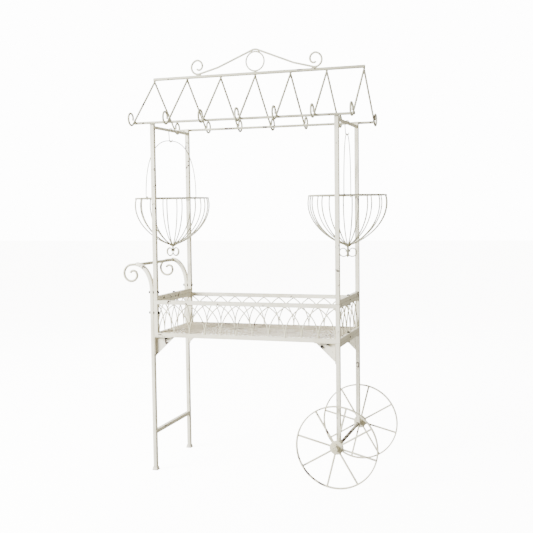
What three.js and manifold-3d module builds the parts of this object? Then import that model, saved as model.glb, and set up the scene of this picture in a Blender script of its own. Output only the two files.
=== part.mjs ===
// Wheeled flower stand in painted steel: a planter box on a wheeled frame, with a pitched
// roof frame above it, hooks along both eaves and two hanging wire baskets.
// Millimetres, +Z up. +X is the wheel end, -X the handle end, -Y the front. The floor is z = 0.
import * as THREE from 'three';
import { mergeVertices } from 'three/addons/utils/BufferGeometryUtils.js';
import Module from 'manifold-3d';

const wasm = await Module();
wasm.setup();

// ---------------------------------------------------------------- driving dimensions
const GAP = 0.3;               // clearance between pieces that touch
const FRAME_SHIFT_X = -1.1;     // puts the origin under the middle of the whole stand

const TUBE = 20;               // square tube of posts, legs and rails
const POST_X = 468;            // post centre lines
const POST_Y = 215;
const LEG_X = -(POST_X + TUBE + GAP);   // handle-end legs stand against the posts
const BOX_BOTTOM_Z = 684;
const BOX_TOP_Z = 868;
const POST_TOP_Z = 1755;

const END_BAR_Z = 1730;        // round bars that carry the baskets
const END_BAR_R = 8;
const EAVE_Z = 1750;
const EAVE_R = 6.5;
const EAVE_Y = POST_Y + TUBE / 2 + EAVE_R + GAP;
const RIDGE_Z = 1996;
const RIDGE_R = 8;
const ROOF_HALF_X = 559;
const RAFTER_R = 5;
const RAFTER_COUNT = 7;
const RAFTER_HALF_X = 553;
const RAFTER_TAIL = 20;         // from the eave bar to the start of the hook
const HOOK_R = 30;

const RING_R = 47.5;           // ring under the pediment's peak
const RING_ROD_R = 4;
const PEDIMENT_ROD_R = 5;
const PEDIMENT_PITCH = THREE.MathUtils.degToRad(22);
const PEDIMENT_CURL_X = 309;
const PEDIMENT_CURL_R = 35;

const FOOT_CAP_H = 17;
const FOOT_CAP_WIDTH = 29;
const LOWER_BAR_Z = 197;
const ARCH_START_Z = 912;      // where the handle tubes start to bend
const ARCH_TOP_Z = 1048;
const ARCH_TOP_X = -574;
const GRIP_R = 8;
const SCROLL_ROD_R = 6;

const WHEEL_R = 198;
const WHEEL_Y = 262;
const WHEEL_WIDTH = 12;
const WHEEL_RIM = 7;
const SPOKE_COUNT = 8;
const SPOKE_WIDTH = 9;
const SPOKE_THICK = 6;
const SPOKE_TURN = THREE.MathUtils.degToRad(14);
const HUB_PLATE_R = 33;
const HUB_BARREL_R = 14;
const HUB_BARREL_LENGTH = 50;
const AXLE_R = 8;
const AXLE_BORE_R = 8.8;

const ARCH_ROD_R = 3;
const LONG_BAYS = 11;
const SHORT_BAYS = 5;
const FLOOR_SHEET = 1.6;

const GUSSET_X = 104;
const GUSSET_Z = 98;
const GUSSET_SHEET = 3;
const WEB_BOLT_X = 387;        // extra bolt near the tip of the wheel-end gussets
const WEB_BOLT_Z = 663.5;

const BASKET_R = 193.5;        // widest radius of the ribs, just below the rim
const BASKET_RIM_R = 188;
const BASKET_RIM_Z = 1380;
const BASKET_BOTTOM_Z = 1136;
const BASKET_RIBS = 16;
const BASKET_BOSS_R = 14;
const RIB_R = 3.2;
const RIM_ROD_R = 3.6;
const BAIL_ROD_R = 2.5;
const BAIL_TOP_Z = 1677;
const BAIL_TURN_LEFT = THREE.MathUtils.degToRad(-17);
const BAIL_TURN_RIGHT = THREE.MathUtils.degToRad(8);
const HANGER_ROD_R = 2.5;
const HANGER_LOWER_R = 8;

const BOLT_SHANK_R = 4;
const BOLT_HOLE_R = 4.6;
const BOLT_HEAD_R = 7.5;
const BOLT_HEAD_H = 8;
const BOLT_NUT_H = 5;
const UPPER_BOLT_Z = 908;
const LOWER_BOLT_Z = 805;

// ---------------------------------------------------------------- materials
const PAINT = 0xe9e6dc;
const AGED_PAINT = 0xd9d4c4;
const DARK_STEEL = 0x6b6558;

function paint(color = PAINT) {
  return new THREE.MeshStandardMaterial({ color, roughness: 0.55, metalness: 0.1 });
}

function steel() {
  return new THREE.MeshStandardMaterial({ color: DARK_STEEL, roughness: 0.5, metalness: 0.8 });
}

// ---------------------------------------------------------------- shape helpers
const vec = (x, y, z) => new THREE.Vector3(x, y, z);

// A three.js geometry as a closed solid, and back again.
function solid(geometry) {
  const bare = geometry.clone();
  bare.deleteAttribute('normal');
  bare.deleteAttribute('uv');
  const merged = mergeVertices(bare, 1e-3);
  const vertProperties = new Float32Array(merged.attributes.position.array);
  const triVerts = new Uint32Array(merged.index.array);
  return new wasm.Manifold(new wasm.Mesh({ numProp: 3, vertProperties, triVerts }));
}

function geometryOf(manifold) {
  const mesh = manifold.getMesh();
  const geometry = new THREE.BufferGeometry();
  geometry.setAttribute('position', new THREE.BufferAttribute(mesh.vertProperties, 3));
  geometry.setIndex(new THREE.BufferAttribute(mesh.triVerts, 1));
  geometry.computeVertexNormals();
  return geometry;
}

function joined(geometries) {
  let whole = solid(geometries[0]);
  for (const geometry of geometries.slice(1)) {
    whole = whole.add(solid(geometry));
  }
  return whole;
}

function cut(whole, geometries) {
  let left = whole;
  for (const geometry of geometries) {
    left = left.subtract(solid(geometry));
  }
  return left;
}

// A box from its two corners.
function block(x0, x1, y0, y1, z0, z1) {
  const geometry = new THREE.BoxGeometry(x1 - x0, y1 - y0, z1 - z0);
  geometry.translate((x0 + x1) / 2, (y0 + y1) / 2, (z0 + z1) / 2);
  return geometry;
}

// A round bar between two points.
function bar(from, to, radius, sides = 10) {
  const along = to.clone().sub(from);
  const geometry = new THREE.CylinderGeometry(radius, radius, along.length(), sides);
  const turn = new THREE.Quaternion();
  turn.setFromUnitVectors(vec(0, 1, 0), along.clone().normalize());
  geometry.applyQuaternion(turn);
  const middle = from.clone().add(to).multiplyScalar(0.5);
  geometry.translate(middle.x, middle.y, middle.z);
  return geometry;
}

// A route through given points: sections stand at the points themselves.
class Route extends THREE.Curve {
  constructor(points) {
    super();
    this.points = points;
  }

  getPoint(t) {
    const last = this.points.length - 1;
    const at = Math.min(Math.floor(t * last + 1e-9), last - 1);
    return this.points[at].clone().lerp(this.points[at + 1], t * last - at);
  }

  getPointAt(u) {
    return this.getPoint(u);
  }

  getSpacedPoints() {
    return this.points.map((point) => point.clone());
  }

  getTangentAt(u) {
    const last = this.points.length - 1;
    const at = Math.round(u * last);
    const before = this.points[Math.max(at - 1, 0)];
    const after = this.points[Math.min(at + 1, last)];
    return after.clone().sub(before).normalize();
  }
}

// A bent round rod (or square tube, with four sides and a turn of 45 degrees) along points.
function rod(points, radius, sides = 6, turn = 0) {
  const outline = new THREE.Shape();
  for (let i = 0; i < sides; i += 1) {
    const angle = turn + (i / sides) * 2 * Math.PI;
    const x = radius * Math.cos(angle);
    const y = radius * Math.sin(angle);
    if (i === 0) {
      outline.moveTo(x, y);
    } else {
      outline.lineTo(x, y);
    }
  }
  outline.closePath();
  const route = new Route(points);
  const steps = points.length - 1;
  return new THREE.ExtrudeGeometry(outline, { steps, bevelEnabled: false, extrudePath: route });
}

// Points of an arc whose radius runs evenly from r0 to r1, in the plane that place() gives.
function arc(place, u, w, r0, r1, from, to, count) {
  const points = [];
  for (let i = 0; i <= count; i += 1) {
    const part = i / count;
    const angle = THREE.MathUtils.degToRad(from + (to - from) * part);
    const radius = r0 + (r1 - r0) * part;
    points.push(place(u + radius * Math.cos(angle), w + radius * Math.sin(angle)));
  }
  return points;
}

function ring(radius, rodRadius, around, through) {
  return new THREE.TorusGeometry(radius, rodRadius, through, around);
}

const stand = new THREE.Group();

function add(name, shape, material = paint(), group = stand) {
  const geometry = shape instanceof THREE.BufferGeometry ? shape : geometryOf(shape);
  const mesh = new THREE.Mesh(geometry, material);
  mesh.name = name;
  group.add(mesh);
  return mesh;
}

const half = TUBE / 2;
const SIDES = [['front', -1], ['back', 1]];

// ---------------------------------------------------------------- bolts
// A bolt through the origin along Z: head below, gripping the given length, and a nut above
// it, or no nut where it screws into a tube.
function boltShape(grip, nutted) {
  const reach = grip / 2 + GAP;
  const tip = nutted ? reach + BOLT_NUT_H + 2 : grip / 2;
  const shank = bar(vec(0, 0, -reach - 1), vec(0, 0, tip), BOLT_SHANK_R, 8);
  const head = bar(vec(0, 0, -reach - BOLT_HEAD_H), vec(0, 0, -reach), BOLT_HEAD_R, 10);
  const nut = bar(vec(0, 0, reach), vec(0, 0, reach + BOLT_NUT_H), BOLT_HEAD_R, 6);
  return joined(nutted ? [shank, head, nut] : [shank, head]);
}

function boltHole(from, to) {
  return bar(from, to, BOLT_HOLE_R, 8);
}

function addBolt(name, grip, position, axis, nutted = true) {
  const mesh = add(name, boltShape(grip, nutted), steel());
  mesh.position.copy(position);
  mesh.quaternion.setFromUnitVectors(vec(0, 0, 1), axis);
  return mesh;
}

// ---------------------------------------------------------------- planter box frame
const railTop = [BOX_TOP_Z - TUBE, BOX_TOP_Z];
const railBottom = [BOX_BOTTOM_Z, BOX_BOTTOM_Z + TUBE];
const boxBars = [];
for (const sx of [-1, 1]) {
  for (const sy of [-1, 1]) {
    const x = sx * POST_X;
    const y = sy * POST_Y;
    boxBars.push(block(x - half, x + half, y - half, y + half, BOX_BOTTOM_Z, BOX_TOP_Z));
  }
}
for (const [z0, z1] of [railTop, railBottom]) {
  for (const s of [-1, 1]) {
    const y = s * POST_Y;
    const x = s * POST_X;
    boxBars.push(block(-POST_X, POST_X, y - half, y + half, z0, z1));
    boxBars.push(block(x - half, x + half, -POST_Y, POST_Y, z0, z1));
  }
}
const gussetBoltX = [-(POST_X - half - 40), POST_X - half - 40];
const gussetBoltY = POST_Y + 1.5;
const boxHoles = [];
for (const s of [-1, 1]) {
  const y = s * POST_Y;
  boxHoles.push(boltHole(vec(-POST_X - 30, y, LOWER_BOLT_Z), vec(-POST_X + 30, y, LOWER_BOLT_Z)));
  const x = s * POST_X;
  boxHoles.push(boltHole(vec(x, 0, BOX_TOP_Z - 30), vec(x, 0, BOX_TOP_Z + 10)));
  for (const gx of gussetBoltX) {
    const gy = s * gussetBoltY;
    boxHoles.push(boltHole(vec(gx, gy, BOX_BOTTOM_Z - 10), vec(gx, gy, BOX_BOTTOM_Z + 14)));
  }
}
boxHoles.push(boltHole(vec(POST_X, 0, BOX_BOTTOM_Z - 10), vec(POST_X, 0, BOX_BOTTOM_Z + 30)));
add('box_frame', cut(joined(boxBars), boxHoles));

// ---------------------------------------------------------------- pointed arch panels
// Equilateral arches, each two bays wide, standing one bay apart so that they interlace.
function archPanel(length, bays, height) {
  const bay = length / bays;
  const radius = (bay * bay + height * height) / (2 * bay);
  const rise = Math.asin(Math.min(height / radius, 1));
  const side = (foot, lean) => {
    const points = [];
    for (let k = 0; k <= 4; k += 1) {
      const angle = (rise * k) / 4;
      points.push(vec(foot + lean * radius * (1 - Math.cos(angle)), 0, radius * Math.sin(angle)));
    }
    points[0].z = -2;
    return points;
  };
  const rods = [];
  for (let i = -1; i < bays; i += 1) {
    const start = -length / 2 + bay * i;
    const rising = i >= 0 ? side(start, 1) : [];
    const falling = i < bays - 1 ? side(start + 2 * bay, -1).reverse() : [];
    const points = [...rising, ...falling.slice(rising.length ? 1 : 0)];
    rods.push(rod(points, ARCH_ROD_R, 4));
  }
  const edge = length / 2 + ARCH_ROD_R;
  const window = solid(block(-edge, edge, -10, 10, 0, height));
  return joined(rods).intersect(window);
}

const archHeight = BOX_TOP_Z - BOX_BOTTOM_Z - 2 * TUBE - 2 * GAP;
const longSpan = 2 * (POST_X - half - GAP - ARCH_ROD_R);
const shortSpan = 2 * (POST_Y - half - GAP - ARCH_ROD_R);
for (const [side, s] of SIDES) {
  const panel = add(`arch_panel_${side}`, archPanel(longSpan, LONG_BAYS, archHeight));
  panel.position.set(0, s * POST_Y, BOX_BOTTOM_Z + TUBE + GAP);
}
for (const [side, s] of [['left', -1], ['right', 1]]) {
  const panel = add(`arch_panel_${side}`, archPanel(shortSpan, SHORT_BAYS, archHeight));
  panel.position.set(s * POST_X, 0, BOX_BOTTOM_Z + TUBE + GAP);
  panel.rotation.z = Math.PI / 2;
}

// ---------------------------------------------------------------- planter floor
// One expanded-metal sheet on the bottom rails, notched round the corner posts.
const sheetX = POST_X - ARCH_ROD_R - 1;
const sheetY = POST_Y - ARCH_ROD_R - 1;
const sheetZ = BOX_BOTTOM_Z + TUBE + GAP;
const notches = [];
for (const sx of [-1, 1]) {
  for (const sy of [-1, 1]) {
    const nx = [sx * (POST_X - half - GAP), sx * (POST_X + 20)].sort((a, b) => a - b);
    const ny = [sy * (POST_Y - half - GAP), sy * (POST_Y + 20)].sort((a, b) => a - b);
    notches.push(block(nx[0], nx[1], ny[0], ny[1], sheetZ - 5, sheetZ + 10));
  }
}
const nutClear = BOLT_HEAD_R + 1;
const nutX = POST_X - nutClear;
notches.push(block(nutX, POST_X + nutClear, -nutClear, nutClear, sheetZ - 5, sheetZ + 10));
const sheet = block(-sheetX, sheetX, -sheetY, sheetY, sheetZ, sheetZ + FLOOR_SHEET);
add('mesh_floor', cut(solid(sheet), notches), paint(AGED_PAINT));

// ---------------------------------------------------------------- upper end frames
function endFrame(x) {
  const z0 = BOX_TOP_Z + GAP;
  const bars = [];
  for (const s of [-1, 1]) {
    const y = s * POST_Y;
    bars.push(block(x - half, x + half, y - half, y + half, z0, POST_TOP_Z));
  }
  bars.push(block(x - half, x + half, -POST_Y, POST_Y, z0, z0 + TUBE));
  bars.push(bar(vec(x, -POST_Y, END_BAR_Z), vec(x, POST_Y, END_BAR_Z), END_BAR_R, 12));
  const holes = [boltHole(vec(x, 0, z0 - 5), vec(x, 0, z0 + TUBE + 5))];
  if (x < 0) {
    for (const s of [-1, 1]) {
      const y = s * POST_Y;
      holes.push(boltHole(vec(x - 20, y, UPPER_BOLT_Z), vec(x + 20, y, UPPER_BOLT_Z)));
    }
  }
  return cut(joined(bars), holes);
}
add('end_frame_left', endFrame(-POST_X));
add('end_frame_right', endFrame(POST_X));

// ---------------------------------------------------------------- handle-end legs
const onSide = (y) => (u, w) => vec(u, y, w);
// The tube bends over in a quarter of an oval and ends where the thinner scroll starts.
function legPoints(y) {
  const reach = LEG_X - ARCH_TOP_X;
  const rise = ARCH_TOP_Z - ARCH_START_Z;
  const points = [vec(LEG_X, y, GAP + 2), vec(LEG_X, y, ARCH_START_Z)];
  for (let i = 1; i <= 9; i += 1) {
    const angle = (i / 9) * (Math.PI / 2);
    const x = LEG_X - reach * (1 - Math.cos(angle));
    points.push(vec(x, y, ARCH_START_Z + rise * Math.sin(angle)));
  }
  return points;
}
for (const [side, s] of SIDES) {
  const y = s * POST_Y;
  const tube = rod(legPoints(y), half * Math.SQRT2, 4, Math.PI / 4);
  const holes = [];
  for (const z of [UPPER_BOLT_Z, LOWER_BOLT_Z]) {
    holes.push(boltHole(vec(LEG_X - 20, y, z), vec(LEG_X + 20, y, z)));
  }
  add(`handle_leg_${side}`, cut(solid(tube), holes));

  const capHalf = FOOT_CAP_WIDTH / 2;
  const cap = block(LEG_X - capHalf, LEG_X + capHalf, y - capHalf, y + capHalf, 0, FOOT_CAP_H);
  const inside = half + GAP;
  const socket = block(LEG_X - inside, LEG_X + inside, y - inside, y + inside, 2, FOOT_CAP_H + 5);
  add(`foot_cap_${side}`, cut(solid(cap), [socket]), paint(AGED_PAINT));

  // scroll: a thinner rod that carries the arch on and curls under
  const curl = arc(onSide(y), -600, 998, 49, 30, 70, 360, 13);
  const tip = arc(onSide(y), -599, 995, 29, 12, 20, 130, 4);
  const start = vec(ARCH_TOP_X - 2, y, ARCH_TOP_Z - 1);
  const points = [start, ...curl.slice(1), ...tip];
  add(`handle_scroll_${side}`, rod(points, SCROLL_ROD_R, 8));
}

const gripEnd = POST_Y - half - GAP;
const gripZ = ARCH_TOP_Z - 2;
const gripX = ARCH_TOP_X + GRIP_R + 1;
add('handle_grip', bar(vec(gripX, -gripEnd, gripZ), vec(gripX, gripEnd, gripZ), GRIP_R, 16));
const lowerBar = [LOWER_BAR_Z - half, LOWER_BAR_Z + half];
add('lower_bar', block(LEG_X - half, LEG_X + half, -gripEnd, gripEnd, ...lowerBar));

// ---------------------------------------------------------------- wheel-end leg frame
const legTopZ = BOX_BOTTOM_Z - GAP;
const legBottomZ = WHEEL_R - 18;
const wheelLegs = [];
const axleHoles = [];
for (const s of [-1, 1]) {
  const y = s * POST_Y;
  wheelLegs.push(block(POST_X - half, POST_X + half, y - half, y + half, legBottomZ, legTopZ));
  axleHoles.push(bar(vec(POST_X, y - 20, WHEEL_R), vec(POST_X, y + 20, WHEEL_R), AXLE_R + 0.5, 16));
}
wheelLegs.push(block(POST_X - half, POST_X + half, -POST_Y, POST_Y, legTopZ - TUBE, legTopZ));
axleHoles.push(boltHole(vec(POST_X, 0, legTopZ - 30), vec(POST_X, 0, legTopZ + 5)));
add('wheel_leg_frame', cut(joined(wheelLegs), axleHoles));

// ---------------------------------------------------------------- axle and wheels
const hubEnd = WHEEL_Y + HUB_BARREL_LENGTH / 2;
const axleEnd = hubEnd + 8;
add('axle', bar(vec(POST_X, -axleEnd, WHEEL_R), vec(POST_X, axleEnd, WHEEL_R), AXLE_R, 16), steel());

// The wheel about its own axis, which is Y.
function wheelShape() {
  const w = WHEEL_WIDTH / 2;
  const inner = WHEEL_R - WHEEL_RIM;
  const profile = [];
  for (const [r, y] of [[inner, -w], [WHEEL_R, -w], [WHEEL_R, w], [inner, w], [inner, -w]]) {
    profile.push(new THREE.Vector2(r, y));
  }
  const shapes = [new THREE.LatheGeometry(profile, 40)];
  for (let i = 0; i < SPOKE_COUNT; i += 1) {
    const spoke = block(0, inner + 2, -SPOKE_THICK / 2, SPOKE_THICK / 2, -SPOKE_WIDTH / 2, SPOKE_WIDTH / 2);
    spoke.rotateY(SPOKE_TURN + (i / SPOKE_COUNT) * 2 * Math.PI);
    shapes.push(spoke);
  }
  shapes.push(bar(vec(0, -5, 0), vec(0, 5, 0), HUB_PLATE_R, 24));
  const barrel = HUB_BARREL_LENGTH / 2;
  shapes.push(bar(vec(0, -barrel, 0), vec(0, barrel, 0), HUB_BARREL_R, 16));
  return cut(joined(shapes), [bar(vec(0, -barrel - 5, 0), vec(0, barrel + 5, 0), AXLE_BORE_R, 16)]);
}
for (const [side, s] of SIDES) {
  const wheel = add(`wheel_${side}`, wheelShape());
  wheel.position.set(POST_X, s * WHEEL_Y, WHEEL_R);

  // cap pressed over the axle end, with a small clearance to the hub
  const y0 = s * (hubEnd + 1);
  const y1 = s * (axleEnd + 4);
  const cap = solid(bar(vec(POST_X, y0, WHEEL_R), vec(POST_X, y1, WHEEL_R), 13, 16));
  const y2 = s * (axleEnd + GAP);
  const bore = bar(vec(POST_X, y0 - s * 5, WHEEL_R), vec(POST_X, y2, WHEEL_R), AXLE_R + GAP, 16);
  add(`axle_cap_${side}`, cut(cap, [bore]), steel());
}

// ---------------------------------------------------------------- corner gussets
// An angle bracket under each end of the box: two flanges, and a triangular web along
// their inner edge.
function gussetShape(inward) {
  const web = new THREE.Shape();
  web.moveTo(0, 0);
  web.lineTo(GUSSET_X, 0);
  web.lineTo(0, -GUSSET_Z);
  web.closePath();
  const plate = new THREE.ExtrudeGeometry(web, { depth: GUSSET_SHEET, bevelEnabled: false });
  plate.rotateX(Math.PI / 2);
  plate.translate(0, GUSSET_SHEET / 2 + inward * (half - GUSSET_SHEET / 2), 0);
  const flangeTop = block(0, GUSSET_X, -half, half, -GUSSET_SHEET, 0);
  const flangeSide = block(0, GUSSET_SHEET, -half, half, -GUSSET_Z, 0);
  return joined([plate, flangeTop, flangeSide]);
}
const gussetRoots = [['left', LEG_X + half + GAP, 1], ['right', POST_X - half - GAP, -1]];
for (const [end, x, way] of gussetRoots) {
  for (const [side, s] of SIDES) {
    const boltX = gussetBoltX[way > 0 ? 0 : 1];
    const shape = gussetShape(-s * way).rotate([0, 0, way > 0 ? 0 : 180]);
    const placed = shape.translate([x, s * POST_Y, BOX_BOTTOM_Z - GAP]);
    const at = (z) => vec(boltX, s * gussetBoltY, z);
    const holes = [boltHole(at(BOX_BOTTOM_Z - 40), at(BOX_BOTTOM_Z + 10))];
    if (end === 'right') {
      const through = (y) => vec(WEB_BOLT_X, s * y, WEB_BOLT_Z);
      holes.push(boltHole(through(POST_Y - 20), through(POST_Y + 20)));
    }
    add(`gusset_${end}_${side}`, cut(placed, holes));
  }
}

// ---------------------------------------------------------------- roof frame
add('ridge_bar', bar(vec(-ROOF_HALF_X, 0, RIDGE_Z), vec(ROOF_HALF_X, 0, RIDGE_Z), RIDGE_R, 16));
for (const [side, s] of SIDES) {
  const from = vec(-ROOF_HALF_X, s * EAVE_Y, EAVE_Z);
  const to = vec(ROOF_HALF_X, s * EAVE_Y, EAVE_Z);
  add(`eave_bar_${side}`, bar(from, to, EAVE_R, 10));
}

// Rafter: a rod bent over below the ridge, lying on both eave bars, its ends curled up
// into open hooks.
const rafterTopZ = RIDGE_Z - RIDGE_R - RAFTER_R - GAP - 0.2;
const eaveStep = EAVE_R + RAFTER_R + GAP + 0.2;
let pitch = Math.PI / 4;
for (let i = 0; i < 8; i += 1) {
  const y = EAVE_Y + eaveStep * Math.sin(pitch);
  const z = EAVE_Z + eaveStep * Math.cos(pitch);
  pitch = Math.atan2(rafterTopZ - z, y);
}
function rafterHalf(s) {
  const place = (u, w) => vec(0, s * u, w);
  const y0 = EAVE_Y + eaveStep * Math.sin(pitch) + RAFTER_TAIL * Math.cos(pitch);
  const z0 = rafterTopZ - y0 * Math.tan(pitch);
  const u = y0 + HOOK_R * Math.sin(pitch);
  const w = z0 + HOOK_R * Math.cos(pitch);
  const entry = -90 - THREE.MathUtils.radToDeg(pitch);
  const hook = arc(place, u, w, HOOK_R, HOOK_R, entry, 60, 7);
  const tip = arc(place, u, w, HOOK_R, HOOK_R - 13, 60, 195, 4);
  return [place(y0 - 8 * Math.cos(pitch), z0 + 8 * Math.sin(pitch)), ...hook, ...tip.slice(1)];
}
function rafterShape() {
  const bend = 9;
  const apex = [-bend, 0, bend].map((y) => vec(0, y, rafterTopZ - (y === 0 ? 1 : 1 + bend * 0.75)));
  const front = rafterHalf(-1).reverse();
  return rod([...front, ...apex, ...rafterHalf(1)], RAFTER_R, 6);
}
for (let i = 0; i < RAFTER_COUNT; i += 1) {
  const rafter = add(`rafter_${i + 1}`, rafterShape());
  rafter.position.x = -RAFTER_HALF_X + (i / (RAFTER_COUNT - 1)) * 2 * RAFTER_HALF_X;
}

// Pediment: one long rod from curl to curl over a rounded peak, and a ring below the peak.
const ringZ = RIDGE_Z + RIDGE_R + GAP + RING_ROD_R + RING_R;
const ringShape = ring(RING_R, RING_ROD_R, 28, 6);
ringShape.rotateX(Math.PI / 2);
add('pediment_ring', ringShape).position.z = ringZ;
const pedimentGap = RING_R + RING_ROD_R + PEDIMENT_ROD_R + GAP + 0.3;
const peakZ = ringZ + pedimentGap / Math.cos(PEDIMENT_PITCH);
const curlZ = RIDGE_Z + RIDGE_R + GAP + PEDIMENT_ROD_R + PEDIMENT_CURL_R;
function pedimentHalf(s) {
  const place = (u, w) => vec(s * u, 0, w);
  const c = PEDIMENT_CURL_R;
  const entry = -90 - THREE.MathUtils.radToDeg(PEDIMENT_PITCH);
  const outer = arc(place, PEDIMENT_CURL_X, curlZ, c, c, entry + 4, 90, 9);
  const inner = arc(place, PEDIMENT_CURL_X, curlZ, c, 9, 90, 300, 7);
  const lead = [];
  for (const part of [0.04, 0.5]) {
    const x = part * PEDIMENT_CURL_X;
    lead.push(place(x, peakZ - x * Math.tan(PEDIMENT_PITCH) - (part < 0.1 ? 1.5 : 0)));
  }
  return [...lead, ...outer, ...inner.slice(1)];
}
const peak = vec(0, 0, peakZ - 3);
const pedimentPoints = [...pedimentHalf(-1).reverse(), peak, ...pedimentHalf(1)];
add('pediment', rod(pedimentPoints, PEDIMENT_ROD_R, 6));

// ---------------------------------------------------------------- hanging baskets
const basketDepth = BASKET_RIM_Z - BASKET_BOTTOM_Z;
const bulgeDepth = 0.15;
// Radius of a rib at a part of the depth: widest a little below the rim, then closing in.
function ribRadius(depth) {
  if (depth < bulgeDepth) {
    const t = (bulgeDepth - depth) / bulgeDepth;
    return BASKET_R - (BASKET_R - BASKET_RIM_R) * t * t;
  }
  const t = (depth - bulgeDepth) / (1 - bulgeDepth);
  return BASKET_R * Math.pow(Math.max(1 - t * t, 0), 0.73);
}
function ribPoints() {
  const points = [];
  for (const depth of [0.005, 0.15, 0.36, 0.56, 0.74, 0.89, 1]) {
    points.push(vec(Math.max(ribRadius(depth), 10), 0, -depth * basketDepth));
  }
  return points;
}
// The basket about its own middle, with z = 0 at the rim and its eyes on the Y axis.
function basketShape() {
  const boss = bar(vec(0, 0, -basketDepth - 6), vec(0, 0, -basketDepth + 6), BASKET_BOSS_R, 16);
  const parts = [boss, ring(BASKET_RIM_R, RIM_ROD_R, 32, 5)];
  for (let i = 0; i < BASKET_RIBS; i += 1) {
    const rib = rod(ribPoints(), RIB_R, 4);
    rib.rotateZ(((i + 0.5) / BASKET_RIBS) * 2 * Math.PI);
    parts.push(rib);
  }
  for (let i = 0; i < 4; i += 1) {
    const place = (u, w) => vec(u, 0, w);
    const sweep = arc(place, 21, -basketDepth - 34, 21, 21, 165, 400, 7);
    const inner = arc(place, 19, -basketDepth - 31, 19, 9, 45, 190, 3);
    const curl = rod([vec(0, 0, -basketDepth), ...sweep, ...inner.slice(1)], 3, 4);
    curl.rotateZ((i / 4) * 2 * Math.PI);
    parts.push(curl);
  }
  return joined(parts);
}
// The bail: a tall arch whose ends loop round the rim.
function bailShape() {
  const rise = BAIL_TOP_Z - BASKET_RIM_Z;
  const loopR = RIM_ROD_R + GAP + BAIL_ROD_R + 0.5;
  const power = 2 / 2.4;
  const foot = BASKET_RIM_R + loopR;
  const sideLoop = (s) => {
    const place = (u, w) => vec(0, s * u, w);
    return arc(place, BASKET_RIM_R, 0, loopR, loopR, 300, 0, 8).slice(0, -1);
  };
  const over = [];
  for (let i = 0; i <= 16; i += 1) {
    const angle = (i / 16) * Math.PI;
    const c = Math.cos(angle);
    const y = -Math.sign(c) * foot * Math.pow(Math.abs(c), power);
    over.push(vec(0, y, rise * Math.pow(Math.max(Math.sin(angle), 0), power)));
  }
  return rod([...sideLoop(-1), ...over, ...sideLoop(1).reverse()], BAIL_ROD_R, 6);
}
// The hanger: an S of wire, its upper bend round the end bar, its lower bend under the bail.
function hangerShape() {
  const place = (u, w) => vec(u, 0, w);
  const upperR = END_BAR_R + GAP + HANGER_ROD_R + 0.4;
  const lowerZ = BAIL_TOP_Z - END_BAR_Z - BAIL_ROD_R - HANGER_ROD_R - GAP + HANGER_LOWER_R;
  const upper = arc(place, 0, 0, upperR, upperR, -20, 180, 10);
  const lower = arc(place, 0, lowerZ, HANGER_LOWER_R, HANGER_LOWER_R, 180, 385, 10);
  return rod([...upper, vec(-upperR + 0.6, 0, -12), ...lower], HANGER_ROD_R, 6);
}
const ends = [['left', -POST_X, BAIL_TURN_LEFT], ['right', POST_X, BAIL_TURN_RIGHT]];
for (const [end, x, turn] of ends) {
  add(`hanger_${end}`, hangerShape(), steel()).position.set(x, 0, END_BAR_Z);
  const hung = new THREE.Group();
  hung.position.set(x, 0, BASKET_RIM_Z);
  hung.rotation.z = turn;
  stand.add(hung);
  add(`bail_${end}`, bailShape(), paint(), hung);
  add(`basket_${end}`, basketShape(), paint(), hung);
}

// ---------------------------------------------------------------- bolts in place
const alongX = vec(1, 0, 0);
const alongZ = vec(0, 0, 1);
for (const [side, s] of SIDES) {
  const x = (LEG_X + -POST_X) / 2;
  const grip = 2 * TUBE + GAP;
  addBolt(`leg_bolt_upper_${side}`, grip, vec(x, s * POST_Y, UPPER_BOLT_Z), alongX);
  addBolt(`leg_bolt_lower_${side}`, grip, vec(x, s * POST_Y, LOWER_BOLT_Z), alongX);
}
const jointGrip = 2 * TUBE + GAP;
const topJointZ = BOX_TOP_Z + GAP / 2;
const bottomJointZ = BOX_BOTTOM_Z - GAP / 2;
addBolt('end_bolt_left', jointGrip, vec(-POST_X, 0, topJointZ), alongZ);
addBolt('end_bolt_right', jointGrip, vec(POST_X, 0, topJointZ), alongZ);
addBolt('wheel_frame_bolt', jointGrip, vec(POST_X, 0, bottomJointZ), alongZ);
const gussetGrip = GUSSET_SHEET + GAP + 12;
const gussetBoltZ = BOX_BOTTOM_Z - GUSSET_SHEET - GAP + gussetGrip / 2;
for (const [k, end] of ['left', 'right'].entries()) {
  for (const [side, s] of SIDES) {
    const at = vec(gussetBoltX[k], s * gussetBoltY, gussetBoltZ);
    addBolt(`gusset_bolt_${end}_${side}`, gussetGrip, at, alongZ, false);
  }
}

// one more through each web at the wheel end, near its tip, its head to the outside
const webY = POST_Y - half + GUSSET_SHEET / 2;
for (const [side, s] of SIDES) {
  const at = vec(WEB_BOLT_X, s * webY, WEB_BOLT_Z);
  addBolt(`web_bolt_${side}`, GUSSET_SHEET, at, vec(0, -s, 0));
}

stand.position.x = FRAME_SHIFT_X;
stand.updateMatrixWorld(true);

export default stand;
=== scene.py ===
import math
import bpy
from mathutils import Matrix, Vector


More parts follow.
